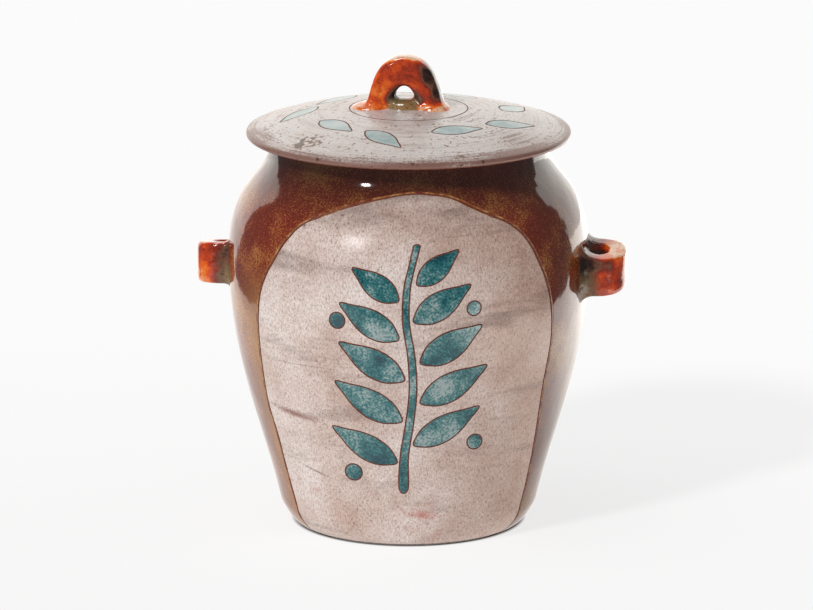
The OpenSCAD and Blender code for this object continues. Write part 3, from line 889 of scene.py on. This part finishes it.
# ---------------------------------------------------------------- stage
# A white paper sweep in a dim room, with the line of shade under the foot. Two sheets,
# on the floor and behind, are what stands bright in the gloss: only glossy rays see them.
bpy.ops.mesh.primitive_plane_add(size=60, location=(0, 0, 0))
paper = bpy.context.active_object
paper.name = "paper_sweep"
white_paper, shader = new_material("white_paper")
spot = put(white_paper, "SeparateXYZ", {"Vector": put(white_paper, "TexCoord").outputs["Object"]})
glow = put(white_paper, "MapRange", {"Value": spot.outputs["Y"], "From Min": -0.35, "From Max": 0.5,
                                     "To Min": 0.765, "To Max": 0.81})
shader.inputs["Base Color"].default_value = linear("#858585")
shader.inputs["Roughness"].default_value = 0.9
shader.inputs["Specular IOR Level"].default_value = 0.0
shader.inputs["Emission Color"].default_value = (1, 1, 1, 1)
out = put(white_paper, "CombineXYZ", {"X": spot.outputs["X"], "Y": spot.outputs["Y"]})
out = put(white_paper, "VectorMath", {0: out.outputs[0]}, operation="LENGTH").outputs["Value"]
clear = put(white_paper, "MapRange", {"Value": out, "From Min": 0.0695, "From Max": 0.0725})
glow = put(white_paper, "Math", {0: glow.outputs["Result"], 1: clear.outputs["Result"]},
           operation="MULTIPLY")
white_paper.node_tree.links.new(glow.outputs[0], shader.inputs["Emission Strength"])
paper.data.materials.append(white_paper)
paper.visible_glossy = False

VIEW = 8
AZIMUTH = math.radians(VIEW)
RIGHT = Vector((math.cos(AZIMUTH), math.sin(AZIMUTH), 0))
AWAY = Vector((-math.sin(AZIMUTH), math.cos(AZIMUTH), 0))


def card(name, corners, left, middle, right):
    """A sheet that only glossy rays see, with its strength on the left, in the middle and on the right.

    Its corners are in metres to the right, away from the camera and up.
    """
    bpy.ops.mesh.primitive_circle_add(vertices=len(corners), fill_type="NGON")
    sheet = bpy.context.active_object
    sheet.name = name
    for v, (x, y, z) in zip(sheet.data.vertices, corners):
        v.co = RIGHT * x + AWAY * y + Vector((0, 0, z))
    light, shader = new_material(name)
    shader.inputs["Base Color"].default_value = (0, 0, 0, 1)
    shader.inputs["Emission Color"].default_value = (1, 0.97, 0.92, 1)
    place = put(light, "TexCoord").outputs["Object"]
    along = put(light, "VectorMath", {0: place, 1: RIGHT}, operation="DOT_PRODUCT").outputs["Value"]
    glow = put(light, "MapRange", {"Value": along, "From Min": -0.35, "From Max": -0.15,
                                   "To Min": left, "To Max": middle})
    extra = put(light, "MapRange", {"Value": along, "From Min": 0.15, "From Max": 0.35,
                                    "To Max": right - middle})
    total = put(light, "Math", {0: glow.outputs["Result"], 1: extra.outputs["Result"]}, operation="ADD")
    light.node_tree.links.new(total.outputs[0], shader.inputs["Emission Strength"])
    sheet.data.materials.append(light)
    sheet.visible_camera = sheet.visible_diffuse = sheet.visible_shadow = False
    return sheet


near = [(-0.53, -0.5), (0.49, -0.5), (0.49, 0), (0.7, 0.43), (3.05, 2), (-2.25, 2), (-1.05, 1), (-0.44, 0.5),
        (-0.53, 0)]
HAIR = 0.0002
card("near_sheet", [(x, y, HAIR) for x, y in near], 1.25, 0.95, 3.1)
card("backdrop", [(-2.25, 2, 0), (3.05, 2, 0), (3.3, 2, 2.6), (-3.3, 2, 2.6)], 1.8, 1.8, 1.8)

world = bpy.data.worlds.new("studio")
bpy.context.scene.world = world
world.use_nodes = True
room = world.node_tree.nodes["Background"]
seen = put(world, "LightPath")
gloss = put(world, "Mix", {0: seen.outputs["Is Glossy Ray"], 2: 0.24, 3: 0.2})
level = put(world, "Mix", {0: seen.outputs["Is Camera Ray"], 2: gloss.outputs[0], 3: 1.0})
world.node_tree.links.new(level.outputs[0], room.inputs["Strength"])
room.inputs["Color"].default_value = (1, 1, 1, 1)


def lamp(name, kind, azimuth, elevation, distance, strength, **shape):
    """A lamp that faces the jar; its azimuth is measured from the camera."""
    a, e = math.radians(azimuth + VIEW), math.radians(elevation)
    place = Vector((math.sin(a) * math.cos(e), -math.cos(a) * math.cos(e), math.sin(e))) * distance
    light = bpy.data.lights.new(name, kind)
    light.energy = strength
    for setting, value in shape.items():
        setattr(light, setting, value)
    stand = bpy.data.objects.new(name, light)
    bpy.context.collection.objects.link(stand)
    stand.location = place + Vector((0, 0, 0.15))
    stand.rotation_euler = place.to_track_quat("Z", "Y").to_euler()
    return stand


for sun in (lamp("key", "SUN", -39, 38, 3, 1.55, angle=math.radians(8)),
            lamp("top", "SUN", -84, 68, 3, 0.4, angle=math.radians(40))):
    sun.visible_glossy = False
for box in (lamp("overhead_box", "AREA", -84, 70, 3, 30, shape="RECTANGLE", size=0.9, size_y=0.5),
            lamp("front_box", "AREA", -35.5, 26, 2.2, 10, shape="RECTANGLE", size=0.18, size_y=0.2)):
    box.visible_diffuse = False

# The photograph's view: 4 m away, a little above, 8 degrees round to the right.
DISTANCE, EYE_Z, AIM_Z, SIDESTEP, LENS, SENSOR = 4.0, 1.124, 0.1335, -0.0013, 297.7, 36
eye = AWAY * -DISTANCE + RIGHT * SIDESTEP + Vector((0, 0, EYE_Z))
aim = RIGHT * SIDESTEP + Vector((0, 0, AIM_Z))
bpy.ops.object.camera_add(location=eye, rotation=(aim - eye).to_track_quat("-Z", "Y").to_euler())
camera = bpy.context.active_object
camera.data.lens, camera.data.sensor_width = LENS, SENSOR
bpy.context.scene.camera = camera
